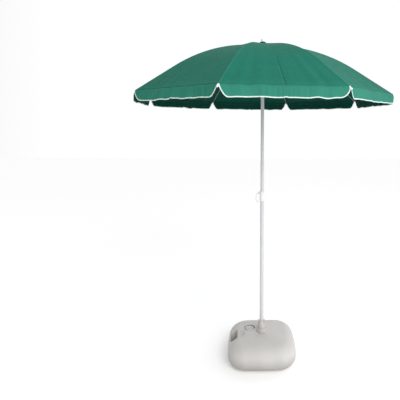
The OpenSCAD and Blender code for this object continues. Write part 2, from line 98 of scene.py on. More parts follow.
# Base
BASE_TURN = math.radians(2)
BASE_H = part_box("base_tank")[1].z
BASE_HALF = 0.208
BASE_CORNER = 0.116
TOP_EDGE, BOTTOM_EDGE = 0.075, 0.055
TOP_CROWN = 0.006
cap_low, cap_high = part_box("filler_cap")
CAP_X, CAP_Y = (cap_low.x + cap_high.x) / 2, (cap_low.y + cap_high.y) / 2
SIDE_PUFF = 0.004
CROWN_FLAT = 0.02
LOW_RINGS, HIGH_RINGS, CROWN_RINGS = 8, 10, (0.35, 0.62, 0.85)
WELL_R, WELL_FLOOR = 0.0221, 0.004
NECK_R = 0.0225
RECESS_R, RECESS_H = 0.030, 0.010
HANDLE_X, HANDLE_Y, HANDLE_W, HANDLE_L = 0.1735, -0.010, 0.041, 0.110
SCOOP_IN, SCOOP_UP, SCOOP_RADII = 0.028, 0.013, (0.048, 0.058, 0.032)
DIMPLE_AT, DIMPLE_UP, DIMPLE_RADII = (0.090, -0.085), 0.003, (0.008, 0.008, 0.007)
# Cuts start a little wide, because softening the edges narrows them again
WELL_ROOM, RECESS_ROOM = 0.0012, 0.001
CUT_LOW, CUT_HIGH = -0.05, 0.3
VOXEL = 0.0026

rng = np.random.default_rng(8)


# ---------------------------------------------------------------- the shape of the cloth
def rib_line(t):
    """Radius, height and slope of the rib line at distance t from the rib's pivot."""
    t = np.asarray(t, float)
    slope = SLOPE_IN + (SLOPE_OUT - SLOPE_IN) * np.clip((t - RIB_IN) / RIB_BEND, 0, 1)
    inner = np.minimum(t, RIB_IN)
    outer = np.maximum(t - RIB_IN - RIB_BEND, 0)
    r = PIN_R + inner * math.cos(SLOPE_IN) + outer * math.cos(SLOPE_OUT)
    z = PIN_Z - inner * math.sin(SLOPE_IN) - outer * math.sin(SLOPE_OUT)
    r += BEND_R * (np.sin(slope) - math.sin(SLOPE_IN))
    z += BEND_R * (np.cos(slope) - math.cos(SLOPE_IN))
    return r, z, slope


# Ripples are sums of waves round the canopy, so that they run on from gore to gore
RIPPLES = [(int(k), a, p) for k, a, p in zip(
    rng.integers(16, 76, 14), rng.uniform(0.4, 1.0, 14), rng.uniform(0, 2 * math.pi, 14)
)]
GATHERS = [(int(k), a, p) for k, a, p in zip(
    rng.integers(50, 210, 22), rng.uniform(0.3, 1.0, 22), rng.uniform(0, 2 * math.pi, 22)
)]
HEM_WAVES = [(int(k), a, p) for k, a, p in zip(
    rng.integers(9, 70, 9), rng.uniform(0.3, 1.0, 9), rng.uniform(0, 2 * math.pi, 9)
)]


def waves(table, angle):
    total = sum(a * np.sin(k * angle + p) for k, a, p in table)
    return total / math.sqrt(sum(a * a for _, a, _ in table))


def smooth(x):
    x = np.clip(x, 0, 1)
    return x * x * (3 - 2 * x)


def half_chord(t):
    return rib_line(t)[0] * math.sin(HALF)


def spread(i, r, share, z):
    """Point at radius r of the gore: share -1 to 1 goes from one edge of gore i to the other."""
    share = np.asarray(share, float)
    out = r * (1 - np.abs(share) * math.sin(HALF) ** 2)
    return turned(i, out, r * share * math.sin(HALF) * math.cos(HALF), z)


def cloth_dip(across):
    """The dip between two ribs, with a soft pressed crease in the middle of the panel."""
    return 0.4 * np.sin(math.pi / 2 * across) + 0.6 * across


def cloth_ripple(angle, ring, across):
    return RIPPLE_HIGH * waves(RIPPLES, angle) * smooth((ring - 0.35) / 0.6) * smooth(across / 0.12)


def cloth_point(i, t, s, lift=0.0):
    """Point of gore i at distance t along the rib and s sideways from it, in the row frame."""
    r, z, slope = rib_line(t)
    share = s / (r * math.sin(HALF))
    across = np.abs(share)
    ring = np.clip(t / RIB_L, 0, 1)
    hollow = CLOTH_SAG * np.sin(math.pi * ring) * cloth_dip(across)
    seam = SEAM_HIGH * (1 - smooth((np.abs(s) - SEAM_HALF) / SEAM_EDGE))
    angle = rib_angle(i) + HALF * share
    ripple = cloth_ripple(angle, ring, across)
    rise = CLOTH_GAP + CLOTH_RISE * np.clip(1 - t / CLOTH_RISE_L, 0, None) ** 2
    up = rise + seam + ripple + lift
    return spread(i, r + up * np.sin(slope), share, z + up * np.cos(slope) - hollow)


def rib_angle(i):
    return FIRST_RIB + (i - 1) * STEP


def turned(i, out, side, z):
    """Takes (outwards, sideways, up) in the plane of rib i to the row frame."""
    a = rib_angle(i)
    x = out * math.sin(a) + side * math.cos(a)
    y = -out * math.cos(a) + side * math.sin(a)
    return np.stack(np.broadcast_arrays(x, y, z), axis=-1)


def columns(width, count, fixed):
    """Sideways places from one gore edge to the other, close together at the seam over the rib."""
    fixed = np.array(fixed) * min(1.0, 0.45 * width / fixed[-1])
    rest = fixed[-1] + (width - fixed[-1]) * np.linspace(0, 1, count + 1)[1:]
    right = np.concatenate([fixed, rest])
    return np.concatenate([-right[::-1], [0.0], right])


SEAM_COLUMNS = (0.0025, 0.0045, 0.0052, 0.0060)


# ---------------------------------------------------------------- mesh helpers
def piece(name, points, faces, materials, face_material=None, uv=None, smooth_faces=True):
    mesh = bpy.data.meshes.new(name)
    mesh.from_pydata([tuple(p) for p in points], [], [tuple(f) for f in faces])
    for m in materials:
        mesh.materials.append(m)
    if face_material is not None:
        mesh.polygons.foreach_set("material_index", np.asarray(face_material, np.int32))
    if uv is not None:
        layer = mesh.uv_layers.new(name="UVMap")
        loops = np.empty(len(mesh.loops), np.int32)
        mesh.loops.foreach_get("vertex_index", loops)
        layer.data.foreach_set("uv", np.asarray(uv, np.float32)[loops].ravel())
    mesh.polygons.foreach_set("use_smooth", np.full(len(mesh.polygons), smooth_faces))
    mesh.update()
    obj = bpy.data.objects.new(name, mesh)
    bpy.context.scene.collection.objects.link(obj)
    return obj


def double_sheet(name, top, under, uv, materials):
    """Closed sheet from two grids of points of the same size, with a rim between them."""
    rows, cols = top.shape[:2]
    points = np.concatenate([top.reshape(-1, 3), under.reshape(-1, 3)])
    n = rows * cols
    faces, which = [], []
    for r in range(rows - 1):
        for c in range(cols - 1):
            a, b, d, e = r * cols + c, r * cols + c + 1, (r + 1) * cols + c, (r + 1) * cols + c + 1
            faces += [(a, d, e, b), (n + a, n + b, n + e, n + d)]
            which += [0, 1]
    edge = [(0, c) for c in range(cols)] + [(r, cols - 1) for r in range(1, rows)]
    edge += [(rows - 1, c) for c in range(cols - 2, -1, -1)] + [(r, 0) for r in range(rows - 2, 0, -1)]
    ring = [r * cols + c for r, c in edge]
    for a, b in zip(ring, ring[1:] + ring[:1]):
        faces.append((a, b, n + b, n + a))
        which.append(0)
    flat_uv = np.concatenate([uv.reshape(-1, 2)] * 2)
    obj = piece(name, points, faces, materials, which, flat_uv)
    flat = np.ones(len(faces), bool)
    flat[-len(ring):] = False
    obj.data.polygons.foreach_set("use_smooth", flat)
    fix_normals(obj)
    return obj


def fix_normals(obj):
    bm = bmesh.new()
    bm.from_mesh(obj.data)
    bmesh.ops.recalc_face_normals(bm, faces=bm.faces)
    bm.to_mesh(obj.data)
    bm.free()


def tape(name, path, normals, width, thick, material, sides=12):
    """Soft folded tape along a path: an oval section, wide across the cloth's surface."""
    path, normals = np.asarray(path), np.asarray(normals)
    along = np.gradient(path, axis=0)
    along /= np.linalg.norm(along, axis=1, keepdims=True)
    across = np.cross(normals, along)
    across /= np.linalg.norm(across, axis=1, keepdims=True)
    out = np.cross(along, across)
    turn = np.linspace(0, 2 * math.pi, sides, endpoint=False)
    rings = [
        p + np.outer(np.cos(turn) * width / 2, w) + np.outer(np.sin(turn) * thick / 2, o)
        for p, w, o in zip(path, across, out)
    ]
    points = np.concatenate(rings)
    length = np.concatenate([[0], np.cumsum(np.linalg.norm(np.diff(path, axis=0), axis=1))])
    uv = np.array([(length[k], a / (2 * math.pi)) for k in range(len(path)) for a in turn])
    faces = []
    for k in range(len(path) - 1):
        for j in range(sides):
            a, b = k * sides + j, k * sides + (j + 1) % sides
            faces.append((a, b, b + sides, a + sides))
    faces.append(tuple(range(sides)))
    faces.append(tuple(range(len(points) - 1, len(points) - sides - 1, -1)))
    obj = piece(name, points, faces, [material], uv=uv)
    fix_normals(obj)
    return obj


# ---------------------------------------------------------------- material helpers
class Nodes:
    """A material's node tree, with a short call for each kind of node."""

    def __init__(self, name):
        self.material = bpy.data.materials.new(name)
        self.material.use_nodes = True
        self.tree = self.material.node_tree
        self.shader = self.tree.nodes["Principled BSDF"]

    def add(self, kind, inputs=None, **settings):
        node = self.tree.nodes.new(kind)
        for key, value in settings.items():
            setattr(node, key, value)
        for key, value in (inputs or {}).items():
            if isinstance(value, bpy.types.NodeSocket):
                self.tree.links.new(value, node.inputs[key])
            else:
                node.inputs[key].default_value = value
        return node

    def math(self, operation, a, b=0.0, c=0.0):
        return self.add("ShaderNodeMath", {0: a, 1: b, 2: c}, operation=operation).outputs[0]

    def noise(self, scale, detail=2.0, roughness=0.5, where=None):
        inputs = {"Scale": scale, "Detail": detail, "Roughness": roughness}
        if where is not None:
            inputs["Vector"] = where
        return self.add("ShaderNodeTexNoise", inputs).outputs["Fac"]

    def ramp(self, value, low, high, to_low=0.0, to_high=1.0):
        return self.add(
            "ShaderNodeMapRange",
            {"Value": value, "From Min": low, "From Max": high, "To Min": to_low, "To Max": to_high},
            clamp=True,
        ).outputs["Result"]

    def mix(self, factor, a, b, blend="MIX"):
        node = self.add("ShaderNodeMix", data_type="RGBA", blend_type=blend)
        for key, value in ((0, factor), (6, a), (7, b)):
            if isinstance(value, bpy.types.NodeSocket):
                self.tree.links.new(value, node.inputs[key])
            else:
                node.inputs[key].default_value = value
        return node.outputs[2]

    def bump(self, height, distance, strength=1.0, normal=None):
        inputs = {"Height": height, "Distance": distance, "Strength": strength}
        if normal is not None:
            inputs["Normal"] = normal
        return self.add("ShaderNodeBump", inputs).outputs["Normal"]

    def where(self, kind="Object"):
        return self.add("ShaderNodeTexCoord").outputs[kind]

    def split(self, vector):
        node = self.add("ShaderNodeSeparateXYZ", {"Vector": vector})
        return node.outputs["X"], node.outputs["Y"], node.outputs["Z"]

    def link(self, output, socket):
        self.tree.links.new(output, self.shader.inputs[socket])

    def set(self, **sockets):
        for key, value in sockets.items():
            self.shader.inputs[key.replace("_", " ")].default_value = value


def rgb(r, g, b):
    return (r, g, b, 1.0)


THREAD = 0.0011
STITCH = 0.0060
STITCH_FROM_SEAM = 0.0034


def weave(n, u, v):
    """Height of a plain weave: threads along u over threads along v, by turns."""
    turn = 2 * math.pi / THREAD
    warp = n.math("SINE", n.math("MULTIPLY", u, turn))
    weft = n.math("SINE", n.math("MULTIPLY", v, turn))
    over = n.math("MULTIPLY", warp, weft)
    return n.math("MULTIPLY_ADD", over, 0.5, 0.5)


def stitches(n, u, distance, place):
    """1 on the thread of a row of stitches at that distance from the seam's middle."""
    row = n.ramp(n.math("ABSOLUTE", n.math("SUBTRACT", distance, place)), 0.0003, 0.0007, 1, 0)
    dash = n.ramp(n.math("SINE", n.math("MULTIPLY", u, 2 * math.pi / STITCH)), -0.5, -0.2)
    return n.math("MULTIPLY", row, dash)


def cloth_material(name, colour, light, hem=None, hem_from=0.0, hem_to=1.0, across=False, underside=False):
    """Woven cloth; its tone passes to a lighter hem tone, painted light, between two distances along the rib,
    or down the valance.
    """
    n = Nodes(name)
    u, v, _ = n.split(n.where("UV"))
    place = n.where("Object")
    side = n.math("ABSOLUTE", v)
    patch = n.ramp(n.noise(3.2, 3, 0.55, place), 0.35, 0.68)
    fine = n.ramp(n.noise(260, 2, 0.6, place), 0.3, 0.75, 0, 0.45)
    base = rgb(*colour)
    if hem is not None:
        base = n.mix(n.ramp(v if across else u, hem_from, hem_to), base, rgb(*hem))
    base = n.mix(n.ramp(patch, 0, 1, 0.16, 0), base, rgb(0, 0.02, 0.012))
    base = n.mix(fine, base, rgb(*light))
    normal = n.bump(weave(n, u, v), 0.00012, 0.55)
    normal = n.bump(n.noise(26, 3, 0.55, place), 0.0012, 0.3, normal)
    if not across:
        seam = n.ramp(side, SEAM_HALF - 0.0006, SEAM_HALF + 0.0006, 1, 0)
        thread = stitches(n, u, side, STITCH_FROM_SEAM)
        base = n.mix(n.math("MULTIPLY", seam, 0.55), base, rgb(*light))
        base = n.mix(n.math("MULTIPLY", thread, 0.6), base, rgb(*[min(1, 1.5 * x) for x in light]))
        raised = n.math("SUBTRACT", seam, n.math("MULTIPLY", thread, 0.6))
        normal = n.bump(raised, 0.0005, 0.8, normal)
    n.link(base, "Base Color")
    n.link(n.ramp(n.noise(40, 3, 0.6, place), 0.3, 0.7, 0.62, 0.78), "Roughness")
    n.link(normal, "Normal")
    n.set(Specular_IOR_Level=0.06 if underside else 0.10, Sheen_Weight=0.0 if underside else 0.02,
          Sheen_Roughness=0.5)
    n.shader.inputs["Sheen Tint"].default_value = rgb(0.35, 0.9, 0.7)
    return n.material


# White tape tones with a painted green cast of light from the cloth beneath
BINDING_TONES = (0.56, 0.70, 0.655), (0.70, 0.82, 0.78)
BINDING_RIB = 0.0009


def binding_material():
    """White tape: fine ribs across it, and a painted green cast of light from the cloth beneath."""
    n = Nodes("binding_white")
    u, _, _ = n.split(n.where("UV"))
    place = n.where("Object")
    base = n.mix(n.ramp(n.noise(60, 3, 0.6, place), 0.3, 0.7), *(rgb(*t) for t in BINDING_TONES))
    n.link(base, "Base Color")
    ribs = n.math("SINE", n.math("MULTIPLY", u, 2 * math.pi / BINDING_RIB))
    normal = n.bump(ribs, 0.0001, 0.5)
    normal = n.bump(n.noise(180, 2, 0.5, place), 0.0006, 0.5, normal)
    n.link(normal, "Normal")
    n.set(Roughness=0.75, Specular_IOR_Level=0.3, Sheen_Weight=0.2)
    return n.material


def plastic_material(name, low, high, rough=(0.38, 0.5), grain=900, grain_depth=0.00006, specular=0.45):
    n = Nodes(name)
    place = n.where("Object")
    base = n.mix(n.ramp(n.noise(9, 4, 0.6, place), 0.3, 0.7), rgb(*low), rgb(*high))
    n.link(base, "Base Color")
    n.link(n.ramp(n.noise(30, 3, 0.6, place), 0.3, 0.7, *rough), "Roughness")
    normal = n.bump(n.noise(grain, 2, 0.6, place), grain_depth, 0.8)
    normal = n.bump(n.noise(18, 2, 0.5, place), 0.0006, 0.25, normal)
    n.link(normal, "Normal")
    n.set(Specular_IOR_Level=specular)
    return n.material


BASE_TONES = (0.62, 0.60, 0.58), (0.68, 0.665, 0.65)
# The second and third tones are painted shade: low on the base, and in a ring round the filler cap
SPECK_TONE, LOW_SHADE_TONE, GROOVE_SHADOW_TONE = (0.54, 0.515, 0.48), (0.33, 0.315, 0.285), (0.10, 0.095, 0.085)
# Painted shade near the floor is darkest up to the first height and gone at the second
SHADE_FULL_BELOW, SHADE_NONE_ABOVE = 0.022, 0.105
GROOVE_R = RECESS_R + 0.0025


def base_material():
    """Blow-moulded polyethylene: matt grain, sink marks, painted shade near the floor and a painted shadow
    round the cap.
    """
    n = Nodes("base_moulded_plastic")
    place = n.where("Object")
    _, y, z = n.split(place)
    tone = n.mix(n.ramp(n.noise(6, 4, 0.55, place), 0.3, 0.7), *(rgb(*t) for t in BASE_TONES))
    speck = n.ramp(n.noise(420, 2, 0.7, place), 0.35, 0.75, 0, 0.35)
    tone = n.mix(speck, tone, rgb(*SPECK_TONE))
    # Painted shade: darker towards the floor, with an uneven upper edge
    uneven = n.math("ADD", z, n.math("MULTIPLY", n.noise(14, 4, 0.6, place), 0.03))
    tone = n.mix(n.ramp(uneven, SHADE_FULL_BELOW, SHADE_NONE_ABOVE, 0.92, 0), tone, rgb(*LOW_SHADE_TONE))
    # Painted shadow: a thin dark ring round the filler cap, below the top surface and darkest behind the cap
    from_cap = n.add(
        "ShaderNodeVectorMath", {0: place, 1: (CAP_X, CAP_Y, BASE_H)}, operation="DISTANCE"
    ).outputs["Value"]
    groove = n.ramp(n.math("ABSOLUTE", n.math("SUBTRACT", from_cap, GROOVE_R)), 0.0012, 0.0036, 1, 0)
    below = n.ramp(z, BASE_H - 0.0015, BASE_H, 1, 0)
    behind = n.ramp(y, CAP_Y - 0.012, CAP_Y + 0.010, 0.2, 0.95)
    groove_shadow = n.math("MULTIPLY", n.math("MULTIPLY", groove, below), behind)
    tone = n.mix(groove_shadow, tone, rgb(*GROOVE_SHADOW_TONE))
    n.link(tone, "Base Color")
    n.link(n.ramp(n.noise(50, 3, 0.6, place), 0.3, 0.7, 0.48, 0.62), "Roughness")
    normal = n.bump(n.noise(700, 3, 0.65, place), 0.00025, 0.7)
    normal = n.bump(n.noise(12, 2, 0.5, place), 0.0025, 0.35, normal)
    n.link(normal, "Normal")
    n.set(Specular_IOR_Level=0.35)
    return n.material


POLE_TONES = (0.62, 0.635, 0.655), (0.53, 0.55, 0.57)


def pole_material():
    """White powder coat on tube: orange peel, faint rub marks along the pole."""
    n = Nodes("pole_white_coat")
    place = n.where("Object")
    x, y, z = n.split(place)
    stretched = n.add("ShaderNodeCombineXYZ", {0: x, 1: y, 2: n.math("MULTIPLY", z, 0.06)}).outputs[0]
    rub = n.ramp(n.noise(160, 3, 0.6, stretched), 0.56, 0.72)
    base = n.mix(n.math("MULTIPLY", rub, 0.35), *(rgb(*t) for t in POLE_TONES))
    n.link(base, "Base Color")
    n.link(n.ramp(rub, 0, 1, 0.28, 0.42), "Roughness")
    n.link(n.bump(n.noise(520, 2, 0.5, place), 0.0001, 0.4), "Normal")
    n.set(Specular_IOR_Level=0.5, Coat_Weight=0.25, Coat_Roughness=0.2)
    return n.material


def metal_material(name, low, high, rough=(0.3, 0.5), drawn=0.05):
    """Drawn or zinc-coated steel, with a fine cell pattern and dull patches."""
    n = Nodes(name)
    place = n.where("Object")
    spangle = n.add("ShaderNodeTexVoronoi", {"Scale": 220.0, "Vector": place}).outputs["Distance"]
    base = n.mix(n.ramp(spangle, 0.1, 0.7), rgb(*low), rgb(*high))
    dull = n.ramp(n.noise(45, 4, 0.65, place), 0.45, 0.75, 0, drawn * 8)
    base = n.mix(dull, base, rgb(*[0.6 * x for x in low]))
    n.link(base, "Base Color")
    n.link(n.ramp(n.noise(300, 3, 0.6, place), 0.3, 0.7, *rough), "Roughness")
    n.link(n.bump(n.noise(1200, 2, 0.5, place), 0.00005, 0.5), "Normal")
    n.set(Metallic=1.0)
    return n.material


def rubber_material():
    n = Nodes("seal_rubber")
    place = n.where("Object")
    n.link(n.mix(n.noise(80, 3, 0.6, place), rgb(0.015, 0.015, 0.015), rgb(0.04, 0.04, 0.04)), "Base Color")
    n.link(n.bump(n.noise(900, 2, 0.5, place), 0.0001, 0.6), "Normal")
    n.set(Roughness=0.7, Specular_IOR_Level=0.3)
    return n.material


# The hem tone is painted light: the canopy's lowest band and the valance are a lighter copy of the same green
# cloth
CLOTH_TONE, LIT_HEM_TONE = (0.005, 0.150, 0.101), (0.022, 0.192, 0.138)
TOP_CLOTH = cloth_material("canopy_top", CLOTH_TONE, (0.026, 0.200, 0.145), LIT_HEM_TONE, 0.800, 0.900)
# The underside's dark green is painted shade: the same cloth as the top, darkened as if in the canopy's own
# shadow
SHADED_UNDER_CLOTH = cloth_material("canopy_under_shaded", (0.002, 0.046, 0.031), (0.005, 0.062, 0.044), underside=True)
# Painted light: the valance is lighter than the canopy, and lighter again towards its hem
VALANCE_CLOTH = cloth_material(
    "valance_top", LIT_HEM_TONE, (0.045, 0.260, 0.190), (0.028, 0.212, 0.150), -0.010, 0.045, across=True
)
BINDING = binding_material()
WHITE = plastic_material("white_plastic", (0.78, 0.79, 0.78), (0.86, 0.87, 0.86), (0.28, 0.42), 700)
TIP = plastic_material("tip_plastic", (0.86, 0.88, 0.87), (0.93, 0.94, 0.93), (0.25, 0.38), 700)
NUT = plastic_material("nut_plastic", (0.60, 0.575, 0.55), (0.67, 0.645, 0.62), (0.42, 0.55), 800, 0.0001)
WASHER = plastic_material("washer_plastic", (0.010, 0.150, 0.100), (0.020, 0.185, 0.130), (0.4, 0.55), 700)
FOOT = plastic_material("foot_plastic", (0.03, 0.03, 0.032), (0.06, 0.06, 0.065), (0.45, 0.6), 600)
BASE = base_material()
POLE = pole_material()
RIB_STEEL = metal_material("rib_steel", (0.30, 0.31, 0.32), (0.46, 0.47, 0.48), (0.35, 0.55))
WIRE = metal_material("zinc_wire", (0.45, 0.46, 0.48), (0.62, 0.63, 0.65), (0.3, 0.5))
STUD = metal_material("stud_steel", (0.60, 0.61, 0.62), (0.72, 0.73, 0.74), (0.15, 0.3), 0.02)
BRASS = metal_material("insert_brass", (0.55, 0.40, 0.16), (0.70, 0.53, 0.24), (0.25, 0.4), 0.02)
RUBBER = rubber_material()


# ---------------------------------------------------------------- canopy
CANOPY_ROWS = 56
CANOPY_COLUMNS = 32
VALANCE_ROWS = 10
CORNER_COLUMNS, EDGE_COLUMNS = 30, 71
CORNER_START, CORNER_REACH = 0.0012, 0.060


def canopy_gore(i):
    """Cloth over rib i, from the middle of one panel to the middle of the next."""
    ts = CLOTH_START + (CLOTH_END - CLOTH_START) * np.linspace(0, 1, CANOPY_ROWS + 1)
    top, under, uv = [], [], []
    for t in ts:
        s = columns(float(half_chord(t)), CANOPY_COLUMNS, SEAM_COLUMNS)
        top.append(cloth_point(i, t, s, CLOTH_T))
        under.append(cloth_point(i, t, s))
        uv.append(np.stack([np.full_like(s, t), s], axis=-1))
    return double_sheet(
        f"canopy_gore_{i}", np.array(top), np.array(under), np.array(uv), [TOP_CLOTH, SHADED_UNDER_CLOTH]
    )


def valance_drop(i, share):
    """How far the valance hangs: its corners rise to the rib in a soft curve and its hem is slightly wavy."""
    angle = rib_angle(i) + HALF * share
    chord = float(half_chord(CLOTH_END))
    side = np.abs(share) * chord
    height = VALANCE_H + HEM_WAVE * waves(HEM_WAVES, angle) * smooth(side / 0.07)
    height = height - MEETING_RISE * np.exp(-(((1 - np.abs(share)) * chord / MEETING_HALF) ** 2))
    width, bend = corner_shape(i, share)
    rise = np.clip((side - 0.002) / width, 0, 1) ** bend
    return SEWN_EDGE + (height - SEWN_EDGE) * np.sin(math.pi / 2 * rise)


def corner_shape(i, share):
    """Width and bend of the valance's corner on the side of rib i that share lies on."""
    left, right = (CORNERS.get((i, side), (CORNER_W, CORNER_BEND)) for side in (-1, 1))
    first = np.asarray(share) < 0
    return np.where(first, left[0], right[0]), np.where(first, left[1], right[1])


def valance_point(i, share, down_share, lift=0.0):
    """Point of the valance: down_share 0 is its seam on the canopy's edge and 1 is its hem."""
    r, z, slope = rib_line(CLOTH_END)
    side = np.abs(share) * float(half_chord(CLOTH_END))
    angle = rib_angle(i) + HALF * share
    down = valance_drop(i, share) * down_share
    depth = down / VALANCE_H
    uneven = 0.35 + 0.65 * smooth(0.5 + 0.6 * waves(HEM_WAVES, angle + 1.3))
    gather = GATHER_HIGH * waves(GATHERS, angle) * uneven * smooth(side / 0.06) * smooth(depth / 0.3)
    ring = CLOTH_END / RIB_L
    ripple = cloth_ripple(angle, ring, np.abs(share))
    hollow = CLOTH_SAG * math.sin(math.pi * ring) * cloth_dip(np.abs(share))
    flow = HEM_FLOW * waves(HEM_WAVES, angle + 0.35) * depth * smooth(side / 0.10)
    eased = np.where(
        down < VALANCE_TURN, down - down ** 2 / (2 * VALANCE_TURN), VALANCE_TURN / 2
    )
    away = eased / math.tan(float(slope)) * VALANCE_OUT
    edge = CLOTH_GAP + ripple
    out = r + edge * np.sin(slope) + away + VALANCE_LEAN * depth + gather + flow + lift
    return spread(i, out, share, z + edge * np.cos(slope) - hollow - down + 0.3 * lift)


def valance_shares():
    """Places of the valance's columns from the rib to the gore's edge, closest in its corner."""
    width = float(half_chord(CLOTH_END))
    corner = CORNER_START + CORNER_REACH * np.linspace(0, 1, CORNER_COLUMNS + 1) ** 1.4
    rest = np.linspace(corner[-1], width, EDGE_COLUMNS + 1)[1:]
    return np.concatenate([corner, rest]) / width


def valance(i, side):
    """Flounce on one side of rib i, sewn along the canopy's edge."""
    share = side * valance_shares()
    down = np.linspace(0, 1, VALANCE_ROWS + 1)
    outer = np.array([valance_point(i, share, k, CLOTH_T) for k in down])
    inner = np.array([valance_point(i, share, k) for k in down])
    places = share * float(half_chord(CLOTH_END))
    uv = np.array([np.stack([places, 0.02 + k * valance_drop(i, share)], axis=-1) for k in down])
    name = f"valance_{i}_{'a' if side < 0 else 'b'}"
    return double_sheet(name, outer, inner, uv, [VALANCE_CLOTH, SHADED_UNDER_CLOTH])


def hem_binding(i):
    """White tape folded over the hem of gore i, up both sides of its notch."""
    shares = valance_shares()
    share = np.concatenate([-shares[::-1], shares])
    drop = valance_drop(i, share)
    tuck = np.clip(0.35 * BINDING_W / np.maximum(drop, 0.004), 0, 0.6)
    hem = valance_point(i, share, 1 - tuck, CLOTH_T / 2)
    normals = turned(i, math.cos(HALF) + 0 * share, math.sin(HALF) * np.sign(share), 0 * share)
    return tape(f"binding_{i}", hem, normals, BINDING_W, BINDING_T, BINDING)


def close_with_fold(obj):
    """Gives the cloth piece its own copy of its mesh."""
    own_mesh(obj)


for i in range(1, RIBS + 1):
    gore = canopy_gore(i)
    flounces = [valance(i, side) for side in (-1, 1)]
    binding = hem_binding(i)
    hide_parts(f"canopy_{i}")
    for obj in (gore, *flounces, binding):
        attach(obj, f"rib_{i}")
        close_with_fold(obj)
    span = 2 * float(half_chord(CLOTH_END))


# ---------------------------------------------------------------- base
def rounded_ring(half, corner, z, count=12, puff=0.0):
    """Rounded square outline at height z, its sides swollen by puff."""
    points = []
    for q in range(4):
        for k in range(count + 1):
            a = math.pi / 2 * (q + k / count)
            cx, cy = [(1, 1), (-1, 1), (-1, -1), (1, -1)][q]
            points.append(((half - corner) * cx + corner * math.cos(a),
                           (half - corner) * cy + corner * math.sin(a)))
        ax, ay = points[-1]
        bx, by = [(-1, 1), (-1, -1), (1, -1), (1, 1)][q]
        bx = (half - corner) * bx + corner * math.cos(math.pi / 2 * (q + 1))
        by = (half - corner) * by + corner * math.sin(math.pi / 2 * (q + 1))
        for k in range(1, count):
            f = k / count
            points.append((ax + (bx - ax) * f, ay + (by - ay) * f))
    swollen = []
    for x, y in points:
        span = half - corner
        bulge_x = puff * math.cos(math.pi / 2 * min(1, abs(x) / span)) if abs(x) < span else 0
        bulge_y = puff * math.cos(math.pi / 2 * min(1, abs(y) / span)) if abs(y) < span else 0
        swollen.append((x + math.copysign(bulge_y, x), y + math.copysign(bulge_x, y), z))
    return swollen


def lofted(name, rings, material):
    n = len(rings[0])
    points = [p for ring in rings for p in ring]
    faces = [tuple(range(n - 1, -1, -1)), tuple(range(len(points) - n, len(points)))]
    for k in range(len(rings) - 1):
        for j in range(n):
            a, b = k * n + j, k * n + (j + 1) % n
            faces.append((a, b, b + n, a + n))
    obj = piece(name, points, faces, [material])
    fix_normals(obj)
    return obj


def cutter(name, outline, low, high):
    """Upright prism that is only used to cut, then removed."""
    n = len(outline)
    points = [(x, y, low) for x, y in outline] + [(x, y, high) for x, y in outline]
    faces = [tuple(range(n - 1, -1, -1)), tuple(range(n, 2 * n))]
    faces += [(j, (j + 1) % n, n + (j + 1) % n, n + j) for j in range(n)]
    obj = piece(name, points, faces, [])
    fix_normals(obj)
    return obj


def bowl_cutter(name, centre, radii, turn=0.0):
    """Ellipsoid that is only used to cut, then removed."""
    mesh = bpy.data.meshes.new(name)
    bm = bmesh.new()
    bmesh.ops.create_uvsphere(bm, u_segments=48, v_segments=24, radius=1.0)
    for v in bm.verts:
        x, y, z = (v.co[k] * radii[k] for k in range(3))
        v.co = (centre[0] + x * math.cos(turn) - y * math.sin(turn),
                centre[1] + x * math.sin(turn) + y * math.cos(turn), centre[2] + z)
    bm.to_mesh(mesh)
    bm.free()
    obj = bpy.data.objects.new(name, mesh)
    bpy.context.scene.collection.objects.link(obj)
    return obj


def round_outline(cx, cy, r, count=48):
    return [(cx + r * math.cos(2 * math.pi * k / count), cy + r * math.sin(2 * math.pi * k / count))
            for k in range(count)]


def apply_all(obj):
    depsgraph = bpy.context.evaluated_depsgraph_get()
    mesh = bpy.data.meshes.new_from_object(obj.evaluated_get(depsgraph))
    old = obj.data
    obj.modifiers.clear()
    obj.data = mesh
    bpy.data.meshes.remove(old)


def cut(obj, tools):
    for tool in tools:
        m = obj.modifiers.new("cut", "BOOLEAN")
        m.operation, m.solver, m.object = "DIFFERENCE", "EXACT", tool
        apply_all(obj)
        bpy.data.objects.remove(tool)


def turn_base(x, y):
    c, s = math.cos(BASE_TURN), math.sin(BASE_TURN)
    return x * c - y * s, x * s + y * c


